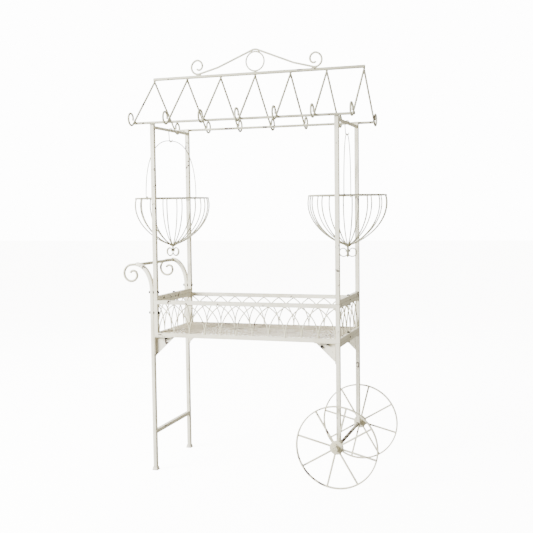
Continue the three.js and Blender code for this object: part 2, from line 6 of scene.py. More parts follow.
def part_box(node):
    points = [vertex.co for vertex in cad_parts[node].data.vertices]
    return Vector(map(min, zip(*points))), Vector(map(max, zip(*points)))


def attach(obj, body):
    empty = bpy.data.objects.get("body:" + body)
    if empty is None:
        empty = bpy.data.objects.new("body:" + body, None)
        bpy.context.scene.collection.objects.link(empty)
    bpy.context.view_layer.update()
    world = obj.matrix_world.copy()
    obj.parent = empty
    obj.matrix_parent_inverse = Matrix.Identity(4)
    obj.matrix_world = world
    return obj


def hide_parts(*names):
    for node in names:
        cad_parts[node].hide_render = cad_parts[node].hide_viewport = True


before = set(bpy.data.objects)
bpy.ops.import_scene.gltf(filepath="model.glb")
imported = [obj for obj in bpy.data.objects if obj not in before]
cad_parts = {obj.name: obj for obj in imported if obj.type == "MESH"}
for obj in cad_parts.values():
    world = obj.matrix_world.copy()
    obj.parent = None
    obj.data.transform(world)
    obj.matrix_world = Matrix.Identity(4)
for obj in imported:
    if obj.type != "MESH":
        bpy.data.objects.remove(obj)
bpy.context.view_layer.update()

# ------------------------------------------------------------ view of the stand
# The stand is seen from its front and a little from the wheel end, at the height of
# the handle.
bpy.ops.object.select_all(action="DESELECT")
bpy.ops.object.camera_add(location=(1.417, -4.149, 1.319))
view = bpy.context.object
view.name = "stand_view"
yaw, pitch, roll = 0.3192, -0.0666, 0.0127
view.rotation_euler = (Matrix.Rotation(yaw, 3, "Z")
                       @ Matrix.Rotation(math.pi / 2 + pitch, 3, "X")
                       @ Matrix.Rotation(-roll, 3, "Z")).to_euler()
view.data.sensor_width = 36
view.data.lens = 58.451032
bpy.context.scene.camera = view

# ------------------------------------------------------------ welded square-tube frames
# Square steel tube, mitred and welded: the planter box, the two upper end frames, the
# wheel-leg frame and the tie between the handle-end legs. Sprayed antique white, then
# chipped and rubbed back on the edges. The tube's corners are rolled to a small radius.
tube_corner = 0.0030


def wire(tree, kind, place, settings=None, **sockets):
    """Adds a node; sockets are values, or (node, output) pairs to link."""
    made = tree.nodes.new(kind)
    made.location = place
    for name, value in (settings or {}).items():
        setattr(made, name, value)
    for name, value in sockets.items():
        key = int(name[1:]) if name[1:].isdigit() else name.replace("_", " ")
        if isinstance(value, tuple) and isinstance(value[0], bpy.types.Node):
            tree.links.new(value[0].outputs[value[1]], made.inputs[key])
        else:
            made.inputs[key].default_value = value
    return made


def steps_of(ramp, *stops):
    """Sets a colour ramp's stops, each (position, grey or colour)."""
    band = ramp.color_ramp
    while len(band.elements) > 1:
        band.elements.remove(band.elements[-1])
    for index, (position, value) in enumerate(stops):
        stop = band.elements[0] if index == 0 else band.elements.new(position)
        stop.position = position
        shade = value if isinstance(value, tuple) else (value, value, value)
        stop.color = (*shade, 1)


def antique_white(name, tint, chip_level, turn, edges=True, corner_shade_strength=0.42):
    """Sprayed cream paint with a brown painted shade in the corners and along the edges, and dark
    chips down to the primer."""
    paint = bpy.data.materials.new(name)
    paint.use_nodes = True
    tree = paint.node_tree
    shader = tree.nodes["Principled BSDF"]
    shader.location = (900, 0)
    where = wire(tree, "ShaderNodeTexCoord", (-1400, 0))
    set_off = wire(tree, "ShaderNodeMapping", (-1200, 0), Vector=(where, "Object"))
    set_off.inputs["Location"].default_value = (turn, turn * 0.7, turn * 0.3)

    # slow drift of the sprayed colour, warm to cool
    drift = wire(tree, "ShaderNodeTexNoise", (-950, 300), Vector=(set_off, "Vector"),
                 Scale=7.0, Detail=5.0, Roughness=0.6)
    warm = wire(tree, "ShaderNodeValToRGB", (-700, 300), Fac=(drift, "Fac"))
    r, g, b = tint
    steps_of(warm, (0.3, (r * 0.86, g * 0.84, b * 0.78)), (0.5, tint),
             (0.72, (min(r * 1.06, 1), min(g * 1.07, 1), min(b * 1.1, 1))))

    # fine speckle of dust and thin coats
    speckle = wire(tree, "ShaderNodeTexNoise", (-950, 0), Vector=(set_off, "Vector"),
                   Scale=160.0, Detail=6.0, Roughness=0.7)
    speckle_band = wire(tree, "ShaderNodeValToRGB", (-700, 0), Fac=(speckle, "Fac"))
    steps_of(speckle_band, (0.36, 0.8), (0.56, 1.0))
    dust_and_shade = wire(tree, "ShaderNodeMix", (-420, 250), {"data_type": "RGBA", "blend_type": "MULTIPLY"},
                 Factor=0.55, i6=(warm, "Color"), i7=(speckle_band, "Color"))

    # painted shade: the corners where the pieces meet are darkened to brown as they close in
    nook = wire(tree, "ShaderNodeAmbientOcclusion", (-950, 550), {"samples": 5}, Distance=0.03)
    painted_corner_shade = wire(tree, "ShaderNodeValToRGB", (-700, 550), Fac=(nook, "AO"))
    steps_of(painted_corner_shade, (0.25, (0.36, 0.27, 0.14)), (0.72, (1.0, 1.0, 1.0)))
    dust_and_shade = wire(tree, "ShaderNodeMix", (-200, 350), {"data_type": "RGBA", "blend_type": "MULTIPLY"},
                 Factor=corner_shade_strength, i6=(dust_and_shade, 2), i7=(painted_corner_shade, "Color"))

    # chips: patches in a few places, sharp at their rims
    patch = wire(tree, "ShaderNodeTexNoise", (-950, -300), Vector=(set_off, "Vector"),
                 Scale=26.0, Detail=7.0, Roughness=0.62, Distortion=0.6)
    place = wire(tree, "ShaderNodeTexNoise", (-950, -550), Vector=(set_off, "Vector"),
                 Scale=4.2, Detail=2.0)
    reach = wire(tree, "ShaderNodeMath", (-700, -400), {"operation": "MULTIPLY_ADD"},
                 i0=(place, "Fac"), i1=0.55, i2=(patch, "Fac"))
    chip_band = wire(tree, "ShaderNodeValToRGB", (-450, -400), Fac=(reach, "Value"))
    steps_of(chip_band, (chip_level, 0.0), (chip_level + 0.018, 1.0))
    worn = (chip_band, "Color")
    if edges:
        soft = wire(tree, "ShaderNodeBevel", (-950, -800), {"samples": 6}, Radius=0.0032)
        true = wire(tree, "ShaderNodeNewGeometry", (-950, -950))
        level = wire(tree, "ShaderNodeVectorMath", (-750, -850), {"operation": "DOT_PRODUCT"},
                     i0=(soft, "Normal"), i1=(true, "Normal"))
        rub = wire(tree, "ShaderNodeTexNoise", (-750, -1050), Vector=(set_off, "Vector"),
                   Scale=34.0, Detail=5.0)
        # painted shade: every rolled edge and crease is darkened to a brownish tone
        painted_edge_shade = wire(tree, "ShaderNodeValToRGB", (-450, 500), Fac=(level, "Value"))
        steps_of(painted_edge_shade, (0.80, (0.60, 0.56, 0.44)), (0.985, (1.0, 1.0, 1.0)))
        dust_and_shade = wire(tree, "ShaderNodeMix", (0, 400), {"data_type": "RGBA", "blend_type": "MULTIPLY"},
                     Factor=0.8, i6=(dust_and_shade, 2), i7=(painted_edge_shade, "Color"))
        half = wire(tree, "ShaderNodeMath", (-650, -850), {"operation": "MULTIPLY"},
                    i0=(level, "Value"), i1=0.5)
        rub_reach = wire(tree, "ShaderNodeMath", (-550, -900), {"operation": "MULTIPLY_ADD"},
                         i0=(rub, "Fac"), i1=0.3, i2=(half, "Value"))
        edge_band = wire(tree, "ShaderNodeValToRGB", (-350, -850), Fac=(rub_reach, "Value"))
        steps_of(edge_band, (0.500, 1.0), (0.515, 0.0))
        either = wire(tree, "ShaderNodeMix", (-100, -500), {"data_type": "RGBA", "blend_type": "LIGHTEN"},
                      Factor=1.0, i6=worn, i7=(edge_band, "Color"))
        worn = (either, 2)

    # under the paint: dark primer with a breath of rust
    primer = wire(tree, "ShaderNodeValToRGB", (-420, -100), Fac=(speckle, "Fac"))
    steps_of(primer, (0.35, (0.018, 0.014, 0.011)), (0.6, (0.07, 0.045, 0.028)))
    skin = wire(tree, "ShaderNodeMix", (200, 200), {"data_type": "RGBA"},
                i0=worn, i6=(dust_and_shade, 2), i7=(primer, "Color"))
    tree.links.new(skin.outputs[2], shader.inputs["Base Color"])

    sheen = wire(tree, "ShaderNodeMapRange", (200, -100), Value=(drift, "Fac"))
    sheen.inputs["To Min"].default_value = 0.42
    sheen.inputs["To Max"].default_value = 0.62
    rough = wire(tree, "ShaderNodeMix", (420, -100), i0=worn, i2=(sheen, "Result"), i3=0.8)
    tree.links.new(rough.outputs[0], shader.inputs["Roughness"])

    peel = wire(tree, "ShaderNodeTexNoise", (-100, -700), Vector=(set_off, "Vector"),
                Scale=420.0, Detail=3.0)
    dent = wire(tree, "ShaderNodeMath", (200, -500), {"operation": "MULTIPLY_ADD"},
                i0=worn, i1=-1.6, i2=(peel, "Fac"))
    bump = wire(tree, "ShaderNodeBump", (500, -400), Strength=0.35, Distance=0.0006,
                Height=(dent, "Value"))
    tree.links.new(bump.outputs["Normal"], shader.inputs["Normal"])
    return paint


def painted_node(name, paint, corner_radius, segments, degrees):
    """Paints a welded piece that keeps its own mesh, and rolls its corners."""
    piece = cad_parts[name]
    piece.data.materials.clear()
    piece.data.materials.append(paint)
    merge = piece.modifiers.new("weld", "WELD")
    merge.merge_threshold = 0.00002
    corner = piece.modifiers.new("rolled_corner", "BEVEL")
    corner.width = corner_radius
    corner.segments = segments
    corner.limit_method = "ANGLE"
    corner.angle_limit = math.radians(degrees)


frame_paint = antique_white("frame_antique_white", (0.83, 0.80, 0.65), 0.930, 0.0)
for name in ("box_frame", "end_frame_left", "end_frame_right", "wheel_leg_frame", "lower_bar"):
    painted_node(name, frame_paint, tube_corner, 3, 40)

# ------------------------------------------------------------ handle-end legs
# Two square tubes stand against the box's posts and bend over at the top as the arches of
# the handle. The bends are pulled cold, so the tube keeps its section.

def middle(node, axis):
    """Where the middle of a piece lies along one axis."""
    low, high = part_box(node)
    return (low[axis] + high[axis]) / 2


tube_half = 0.010
leg_x = middle("lower_bar", 0)
post_y = -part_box("handle_leg_front")[0][1] - tube_half
shift = middle("ridge_bar", 0)
leg_foot_z, leg_bend_steps = 0.0023, 18
arch_start, arch_top, arch_end_x = 0.912, 1.048, -0.574 + shift


def lay_down():
    bpy.ops.object.select_all(action="DESELECT")


def choose(*things):
    """Selects these objects only, the last one active."""
    lay_down()
    for thing in things:
        thing.select_set(True)
        bpy.context.view_layer.objects.active = thing


def bent_rod(name, route, radius, sides=12, turn=0.0, ends=True):
    """Draws a rod in the XZ plane: a disc is extruded from point to point of the route and
    turned half of each bend, so that every section lies across the rod."""
    course = [math.atan2(b[1] - a[1], b[0] - a[0]) for a, b in zip(route, route[1:])]
    for i in range(1, len(course)):
        while course[i] - course[i - 1] > math.pi:
            course[i] -= 2 * math.pi
        while course[i] - course[i - 1] < -math.pi:
            course[i] += 2 * math.pi
    lean = [course[0]] + [(a + b) / 2 for a, b in zip(course, course[1:])] + [course[-1]]
    lay_down()
    tilt = Matrix.Rotation(math.pi / 2 - lean[0], 3, "Y") @ Matrix.Rotation(turn, 3, "Z")
    bpy.ops.mesh.primitive_circle_add(vertices=sides, radius=radius, fill_type="NGON",
                                      location=(route[0][0], 0, route[0][1]),
                                      rotation=tilt.to_euler())
    rod = bpy.context.object
    rod.name = name
    bpy.ops.object.transform_apply(location=True, rotation=True, scale=True)
    bpy.ops.object.mode_set(mode="EDIT")
    bpy.ops.mesh.select_all(action="SELECT")
    for i in range(1, len(route)):
        step = (route[i][0] - route[i - 1][0], 0, route[i][1] - route[i - 1][1])
        bpy.ops.mesh.extrude_region_move(TRANSFORM_OT_translate={"value": step})
        bend = lean[i] - lean[i - 1]
        if abs(bend) > 1e-6:
            bpy.ops.transform.rotate(value=bend, orient_axis="Y", orient_type="GLOBAL",
                                     center_override=(route[i][0], 0, route[i][1]))
    bpy.ops.mesh.select_all(action="SELECT")
    bpy.ops.mesh.normals_make_consistent(inside=False)
    bpy.ops.object.mode_set(mode="OBJECT")
    return rod


def set_in_place(piece, place=(0, 0, 0), turns=(0, 0, 0)):
    """Moves and turns a piece, and gives its place to its mesh."""
    choose(piece)
    piece.rotation_euler = turns
    piece.location = place
    bpy.ops.object.transform_apply(location=True, rotation=True, scale=True)
    return piece


def copy_of(piece, name):
    """A copy of a piece with a mesh of its own."""
    choose(piece)
    bpy.ops.object.duplicate(linked=False)
    twin = bpy.context.object
    twin.name = name
    return twin


def discard(*things):
    """Deletes the models that copies were made from."""
    choose(*things)
    bpy.ops.object.delete()


def joined(name, parts):
    """Several welded parts as one piece."""
    choose(*parts)
    bpy.ops.object.join()
    whole = bpy.context.object
    whole.name = name
    return whole


def smooth(piece, degrees=35):
    choose(piece)
    bpy.ops.object.shade_smooth_by_angle(angle=math.radians(degrees))


def finish_steel(piece, material, body, slot, *nodes, degrees=35):
    """Shading, paint, and the CAD nodes that the piece stands for."""
    smooth(piece, degrees)
    piece.data.materials.clear()
    piece.data.materials.append(material)
    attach(piece, body)
    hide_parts(*nodes)


def rounded(piece, width, segments=2, degrees=40):
    """Rolls the piece's sharp edges to a small radius."""
    bevel = piece.modifiers.new("rolled_edge", "BEVEL")
    bevel.width = width
    bevel.segments = segments
    bevel.limit_method = "ANGLE"
    bevel.angle_limit = math.radians(degrees)
    choose(piece)
    bpy.ops.object.modifier_apply(modifier=bevel.name)


leg_paint = antique_white("leg_antique_white", (0.84, 0.81, 0.66), 0.925, 3.1)
leg_route = [(leg_x, z) for z in (leg_foot_z, 0.3, 0.6, arch_start)]
for i in range(1, leg_bend_steps + 1):
    swing = i / leg_bend_steps * math.pi / 2
    leg_route.append((leg_x - (leg_x - arch_end_x) * (1 - math.cos(swing)),
                      arch_start + (arch_top - arch_start) * math.sin(swing)))
for side, y in (("front", -post_y), ("back", post_y)):
    leg = bent_rod("leg_tube_" + side, leg_route, tube_half * math.sqrt(2), 4, math.pi / 4)
    rounded(leg, tube_corner, 3)
    set_in_place(leg, (0, y, 0))
    finish_steel(leg, leg_paint, "stand", "paint", "handle_leg_" + side)

# ------------------------------------------------------------ handle scrolls and grip
# Solid round rod, hammered into a spiral and welded into the end of each leg tube. A round
# grip bar joins the two arches.
# The frame's antique white made darker as painted shade: the tone the thin scroll rods and the grip take in
# shade.
scroll_paint_shaded = antique_white("scroll_white_painted_shade", (0.55, 0.53, 0.39), 0.915, 5.7, False)


def spiral(centre, start_radius, end_radius, start, end, count):
    """Points of an arc whose radius runs evenly from one value to the other."""
    points = []
    for i in range(count + 1):
        part = i / count
        angle = math.radians(start + (end - start) * part)
        radius = start_radius + (end_radius - start_radius) * part
        points.append((centre[0] + radius * math.cos(angle), centre[1] + radius * math.sin(angle)))
    return points


scroll_radius = 0.006
curl = spiral((-0.600 + shift, 0.998), 0.049, 0.030, 70, 360, 36)
tip = spiral((-0.599 + shift, 0.995), 0.029, 0.012, 20, 130, 14)
scroll_route = [(arch_end_x - 0.002, arch_top - 0.001)] + curl[3:-1] + tip[1:]
for side, y in (("front", -post_y), ("back", post_y)):
    scroll = bent_rod("handle_scroll_rod_" + side, scroll_route, scroll_radius, 12)
    rounded(scroll, 0.0012, 2, 60)
    set_in_place(scroll, (0, y, 0))
    finish_steel(scroll, scroll_paint_shaded, "stand", "paint", "handle_scroll_" + side)


def cast_rod(name, start, end, radius, sides=20, ends=0.0012):
    """A straight round rod between two points, its ends filed off a little."""
    start, end = Vector(start), Vector(end)
    lay_down()
    bpy.ops.mesh.primitive_cylinder_add(vertices=sides, radius=radius, depth=(end - start).length,
                                        location=(start + end) / 2,
                                        rotation=(end - start).to_track_quat("Z", "Y").to_euler())
    rod = bpy.context.object
    rod.name = name
    bpy.ops.object.transform_apply(location=True, rotation=True, scale=True)
    rounded(rod, ends, 2, 60)
    return rod


def weld_bead(place, size, seed):
    """A small, slightly lumpy bead of weld metal."""
    lay_down()
    bpy.ops.mesh.primitive_ico_sphere_add(subdivisions=2, radius=1, location=place)
    bead = bpy.context.object
    bead.scale = size
    bpy.ops.object.transform_apply(location=False, rotation=False, scale=True)
    bpy.ops.object.mode_set(mode="EDIT")
    bpy.ops.mesh.select_all(action="SELECT")
    bpy.ops.transform.vertex_random(offset=min(size) * 0.12, seed=seed)
    bpy.ops.object.mode_set(mode="OBJECT")
    bpy.ops.object.transform_apply(location=True, rotation=True, scale=True)
    return bead


grip_radius = 0.008
grip_x, grip_z = middle("handle_grip", 0), middle("handle_grip", 2)
grip_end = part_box("handle_grip")[1][1]
parts = [cast_rod("grip", (grip_x, -grip_end, grip_z), (grip_x, grip_end, grip_z), grip_radius, 24)]
for s in (-1, 1):
    parts.append(weld_bead((grip_x, s * (grip_end - 0.001), grip_z), (0.010, 0.0035, 0.010), 3 + s))
finish_steel(joined("grip_bar", parts), scroll_paint_shaded, "stand", "paint", "handle_grip")

# ------------------------------------------------------------ foot caps
# Square pressed caps on the ends of the handle-end legs, splayed a little at the sole and
# worn to the metal where they scrape over paving.
cap_paint = antique_white("foot_cap_white", (0.72, 0.68, 0.56), 0.84, 9.3)
sole_thick, shoulder_z, cap_taper, cap_rim, cap_dish = 0.006, 0.009, 0.86, 0.0018, 0.004
for side in ("front", "back"):
    low_corner, high_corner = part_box("foot_cap_" + side)
    x, y = middle("foot_cap_" + side, 0), middle("foot_cap_" + side, 1)
    width = high_corner[0] - low_corner[0]
    lay_down()
    bpy.ops.mesh.primitive_cube_add(size=1, location=(x, y, sole_thick / 2), scale=(width, width, sole_thick))
    cap = bpy.context.object
    bpy.ops.object.transform_apply(location=True, rotation=True, scale=True)
    bpy.ops.object.mode_set(mode="EDIT")
    bpy.ops.mesh.select_mode(type="FACE")
    bpy.ops.mesh.select_all(action="DESELECT")
    bpy.ops.object.mode_set(mode="OBJECT")
    for face in cap.data.polygons:
        face.select = face.normal.z > 0.9
    bpy.ops.object.mode_set(mode="EDIT")
    bpy.ops.mesh.extrude_region_move(TRANSFORM_OT_translate={"value": (0, 0, shoulder_z - sole_thick)})
    bpy.ops.transform.resize(value=(cap_taper, cap_taper, 1), center_override=(x, y, shoulder_z))
    cap_rise = high_corner[2] - shoulder_z
    bpy.ops.mesh.extrude_region_move(TRANSFORM_OT_translate={"value": (0, 0, cap_rise)})
    bpy.ops.mesh.inset(thickness=cap_rim)
    bpy.ops.mesh.extrude_region_move(TRANSFORM_OT_translate={"value": (0, 0, -cap_dish)})
    bpy.ops.object.mode_set(mode="OBJECT")
    rounded(cap, 0.0012, 2)
    cap.name = "foot_cap_worn_" + side
    finish_steel(cap, cap_paint, "stand", "foot_cap", "foot_cap_" + side)

# ------------------------------------------------------------ roof
# Seven rods bent over the ridge, each end curled up into an open hook. They are welded
# under the ridge bar and over the two eave bars, with a bead of weld at each crossing.
# The frame's antique white made darker as painted shade: the tone the thin roof rods take in shade.
roof_paint_shaded = antique_white("roof_white_painted_shade", (0.50, 0.485, 0.36), 0.925, 12.1, False)
ridge_low, ridge_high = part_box("ridge_bar")
ridge_z, ridge_r = 1.996, 0.008
rafter_r, weld_gap, peak_r = 0.005, 0.0005, 0.006
hook_r, hook_tip_r, tail_length = 0.030, 0.017, 0.020
ridge = cast_rod("ridge", (ridge_low[0], 0, ridge_z), (ridge_high[0], 0, ridge_z), ridge_r, 28, 0.003)
finish_steel(ridge, roof_paint_shaded, "stand", "paint", "ridge_bar")
eave_radius = (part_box("eave_bar_back")[1][2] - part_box("eave_bar_back")[0][2]) / 2
eave_y, eave_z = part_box("eave_bar_back")[1][1] - eave_radius, 1.750
eave_step = eave_radius + rafter_r + weld_gap
for side, s in (("front", -1), ("back", 1)):
    eave = cast_rod("eave_rod_" + side, (ridge_low[0], s * eave_y, eave_z),
                    (ridge_high[0], s * eave_y, eave_z), eave_radius, 20, 0.0015)
    finish_steel(eave, roof_paint_shaded, "stand", "paint", "eave_bar_" + side)

crown = ridge_z - ridge_r - rafter_r - weld_gap
slope = math.pi / 4
# the slope and the step off the eave bar set each other, so they are settled by turns
for i in range(8):
    slope = math.atan2(crown - eave_z - eave_step * math.cos(slope), eave_y + eave_step * math.sin(slope))
tail_y = eave_y + eave_step * math.sin(slope) + tail_length * math.cos(slope)
tail_z = crown - tail_y * math.tan(slope)
hook_y, hook_z = tail_y + hook_r * math.sin(slope), tail_z + hook_r * math.cos(slope)
entry = -90 - math.degrees(slope)
hook = spiral((hook_y, hook_z), hook_r, hook_r, entry, 60, 22)
hook += spiral((hook_y, hook_z), hook_r, hook_tip_r, 60, 195, 14)[1:]
peak = (0, crown - peak_r / math.cos(slope) + 0.001)
over = spiral(peak, peak_r, peak_r, 90, 90 - math.degrees(slope), 5)
half_route = over + [(0.08, crown - 0.08 * math.tan(slope)), (0.16, crown - 0.16 * math.tan(slope))] + hook
rafter_route = [(-x, z) for x, z in reversed(half_route[1:])] + half_route
rafter_rod = bent_rod("rafter_rod", rafter_route, rafter_r, 14)
rounded(rafter_rod, 0.0014, 2, 60)
beads = [weld_bead((0, 0, crown + 0.0045), (0.0095, 0.007, 0.0028), 21)]
for s in (-1, 1):
    beads.append(weld_bead((s * (eave_y + 0.0047), 0, eave_z + 0.0049), (0.006, 0.0078, 0.0062), 22 + s))
rafter_rod = joined("rafter_rod", [*beads, rafter_rod])
set_in_place(rafter_rod, (0, 0, 0), (0, 0, math.pi / 2))
for i in range(7):
    twin = copy_of(rafter_rod, "rafter_rod_%d" % (i + 1))
    set_in_place(twin, (middle("rafter_%d" % (i + 1), 0), 0, 0))
    finish_steel(twin, roof_paint_shaded, "stand", "paint", "rafter_%d" % (i + 1))
discard(rafter_rod)

# ------------------------------------------------------------ pediment
# One long rod on the ridge, from curl to curl over a rounded peak, with a plain ring
# welded under the peak.
touch = 0.0003
ring_r, ring_rod_r, crest_r, crest_round = 0.0475, 0.004, 0.005, 0.04
curl_x, curl_r, curl_tip_r, pitch_degrees = 0.309, 0.035, 0.009, 22
ring_z = ridge_z + ridge_r + touch + ring_rod_r + ring_r
pitch_angle = math.radians(pitch_degrees)
peak_z = ring_z + (ring_r + ring_rod_r + crest_r + 2 * touch) / math.cos(pitch_angle)
curl_z = ridge_z + ridge_r + touch + crest_r + curl_r
half_route = spiral((0, peak_z - 0.003 - crest_round), crest_round, crest_round, 90, 90 - pitch_degrees, 5)
half_route += [(0.10, peak_z - 0.10 * math.tan(pitch_angle)), (0.20, peak_z - 0.20 * math.tan(pitch_angle))]
half_route += spiral((curl_x, curl_z), curl_r, curl_r, -108, 90, 26)
half_route += spiral((curl_x, curl_z), curl_r, curl_tip_r, 90, 300, 24)[1:]
crest_route = [(-x, z) for x, z in reversed(half_route[1:])] + half_route
crest = bent_rod("crest_rod", [(x + shift, z) for x, z in crest_route], crest_r, 14)
rounded(crest, 0.0014, 2, 60)
beads = [weld_bead((s * 0.305 + shift, 0, ridge_z + ridge_r + 0.001), (0.014, 0.006, 0.003), 30 + s)
         for s in (-1, 1)]
finish_steel(joined("crest_rod", [*beads, crest]), roof_paint_shaded, "stand", "paint", "pediment")
lay_down()
bpy.ops.mesh.primitive_torus_add(major_radius=ring_r, minor_radius=ring_rod_r, major_segments=64,
                                 minor_segments=12, location=(shift, 0, ring_z),
                                 rotation=(math.pi / 2, 0, 0))
crest_ring = bpy.context.object
bpy.ops.object.transform_apply(location=True, rotation=True, scale=True)
reach = ring_r + ring_rod_r
beads = [weld_bead((shift, 0, ring_z - reach), (0.007, 0.0055, 0.003), 41)]
for s in (-1, 1):
    beads.append(weld_bead((shift + s * reach * math.sin(pitch_angle), 0,
                            ring_z + reach * math.cos(pitch_angle)), (0.006, 0.005, 0.003), 42 + s))
finish_steel(joined("crest_ring", [*beads, crest_ring]), roof_paint_shaded, "stand", "paint", "pediment_ring")

# ------------------------------------------------------------ pointed arch panels
# Round wire bent to pointed arches two bays wide. They stand one bay apart, so that each
# crosses its neighbours, and are spot welded where they cross.
# The frame's antique white made darker as painted shade: the tone the thin arch wires take in shade.
wire_paint_shaded = antique_white("wire_white_painted_shade", (0.68, 0.655, 0.50), 0.915, 17.4, False)
panel_low, panel_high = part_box("arch_panel_front")
panel_height = panel_high[2] - panel_low[2]
wire_r, long_bays, short_bays = 0.003, 11, 5


def arch_panel(name, length, bays):
    """Arches that start one bay apart, with half an arch to close each end."""
    bay = length / bays
    bend = (bay * bay + panel_height * panel_height) / (2 * bay)
    sweep = math.asin(min(panel_height / bend, 1))
    limb = [(bend * (1 - math.cos(sweep * k / 10)), bend * math.sin(sweep * k / 10)) for k in range(11)]
    wires = []
    for first in range(-1, bays):
        start = -length / 2 + bay * first
        rise = [(start + x, z) for x, z in limb]
        fall = [(start + 2 * bay - x, z) for x, z in reversed(limb)]
        if first < 0:
            route = fall
        elif first == bays - 1:
            route = rise
        else:
            route = rise + fall[1:]
        wires.append(bent_rod("arch_wire", route, wire_r, 8))
    return joined(name, wires)


long_panel = arch_panel("arch_long", panel_high[0] - panel_low[0] - 2 * wire_r, long_bays)
side_low, side_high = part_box("arch_panel_left")
short_panel = arch_panel("arch_short", side_high[1] - side_low[1] - 2 * wire_r, short_bays)
for side, y in (("front", -post_y), ("back", post_y)):
    panel = copy_of(long_panel, "arch_wires_" + side)
    set_in_place(panel, (shift, y, panel_low[2]))
    finish_steel(panel, wire_paint_shaded, "stand", "paint", "arch_panel_" + side, degrees=50)
for side in ("left", "right"):
    panel = copy_of(short_panel, "arch_wires_" + side)
    set_in_place(panel, (middle("arch_panel_" + side, 0), 0, panel_low[2]), (0, 0, math.pi / 2))
    finish_steel(panel, wire_paint_shaded, "stand", "paint", "arch_panel_" + side, degrees=50)
discard(long_panel, short_panel)

# ------------------------------------------------------------ planter floor
# One sheet of expanded metal: thin strands that meet in long diamonds, lying on the bottom
# rails, with its cut edges left as they are. Soil and weather have browned the paint, and
# its colour is darkened further as painted shade for the shade among the strands.
floor_paint_browned_and_shaded = antique_white("floor_browned_and_shaded", (0.50, 0.44, 0.31), 0.90, 23.9, False, 0.0)
floor_low, floor_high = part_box("mesh_floor")
cut_edge = 0.001
floor_length = floor_high[0] - floor_low[0] - 2 * cut_edge
floor_width = floor_high[1] - floor_low[1] - 2 * cut_edge
strand_width, strand_thick, diamond_width, diamond_length = 0.0023, 0.0015, 0.0088, 0.024
strand_count = round(floor_width / diamond_width)
row = floor_width / strand_count
wave = (row - strand_width) / 2 * 1.04
half_waves = 2 * round(floor_length / diamond_length)
step_x = floor_length / half_waves
lay_down()
bpy.ops.mesh.primitive_plane_add(size=1, location=(0, 0, 0))
strand = bpy.context.object
bpy.ops.object.mode_set(mode="EDIT")
bpy.ops.mesh.select_mode(type="VERT")
bpy.ops.mesh.select_all(action="SELECT")
bpy.ops.mesh.merge(type="CENTER")
bpy.ops.transform.translate(value=(-floor_length / 2, wave - strand_width / 2, -strand_thick / 2))
for k in range(half_waves):
    bpy.ops.mesh.extrude_vertices_move(
        TRANSFORM_OT_translate={"value": (step_x, 2 * wave * (-1) ** (k + 1), 0)})
bpy.ops.mesh.select_all(action="SELECT")
bpy.ops.mesh.extrude_edges_move(TRANSFORM_OT_translate={"value": (0, strand_width, 0)})
bpy.ops.mesh.select_all(action="SELECT")
bpy.ops.mesh.extrude_region_move(TRANSFORM_OT_translate={"value": (0, 0, strand_thick)})
bpy.ops.mesh.select_all(action="SELECT")
bpy.ops.mesh.normals_make_consistent(inside=False)
bpy.ops.object.mode_set(mode="OBJECT")
strands = []
floor_z = middle("mesh_floor", 2)
for k in range(strand_count):
    twin = copy_of(strand, "strand")
    set_in_place(twin, (shift, -floor_width / 2 + row * (k + 0.5), floor_z), (math.pi * (k % 2), 0, 0))
    strands.append(twin)
discard(strand)
finish_steel(joined("expanded_metal_floor", strands), floor_paint_browned_and_shaded, "stand", "floor_mesh", "mesh_floor")

# ------------------------------------------------------------ corner gussets
# Triangular angle brackets of 3 mm sheet under the box's corners, folded along two edges
# and held by one screw each.
gusset_paint = antique_white("gusset_antique_white", (0.83, 0.80, 0.66), 0.90, 27.1)
for end in ("left", "right"):
    for side in ("front", "back"):
        painted_node("gusset_%s_%s" % (end, side), gusset_paint, 0.0007, 2, 50)

# ------------------------------------------------------------ wheels
# A hoop of flat bar with eight flat spokes welded between it and a thick hub plate. A short
# barrel through the plate runs loose on the axle.
# The frame's antique white made darker as painted shade: the tone the thin wheel bars and axle caps take in
# shade.
wheel_paint_shaded = antique_white("wheel_white_painted_shade", (0.68, 0.65, 0.49), 0.905, 31.3, False)
hoop_radius, hoop_width, hoop_thick = 0.198, 0.012, 0.007
hub_plate_r, hub_plate_wall, hub_plate_thick = 0.033, 0.0235, 0.010
barrel_r, barrel_wall, barrel_length = 0.014, 0.0052, 0.050
spoke_count, spoke_width, spoke_thick, spoke_turn = 8, 0.009, 0.006, -14
wheel_x, wheel_y, wheel_z = middle("wheel_front", 0), -middle("wheel_front", 1), hoop_radius


def tube_wall(name, radius, thick, length, sides):
    """A short length of round tube about Z: an open cylinder given a wall inwards."""
    lay_down()
    bpy.ops.mesh.primitive_cylinder_add(vertices=sides, radius=radius, depth=length, end_fill_type="NOTHING")
    wall = bpy.context.object
    wall.name = name
    skin = wall.modifiers.new("wall", "SOLIDIFY")
    skin.thickness = thick
    skin.offset = -1
    choose(wall)
    bpy.ops.object.modifier_apply(modifier=skin.name)
    return wall


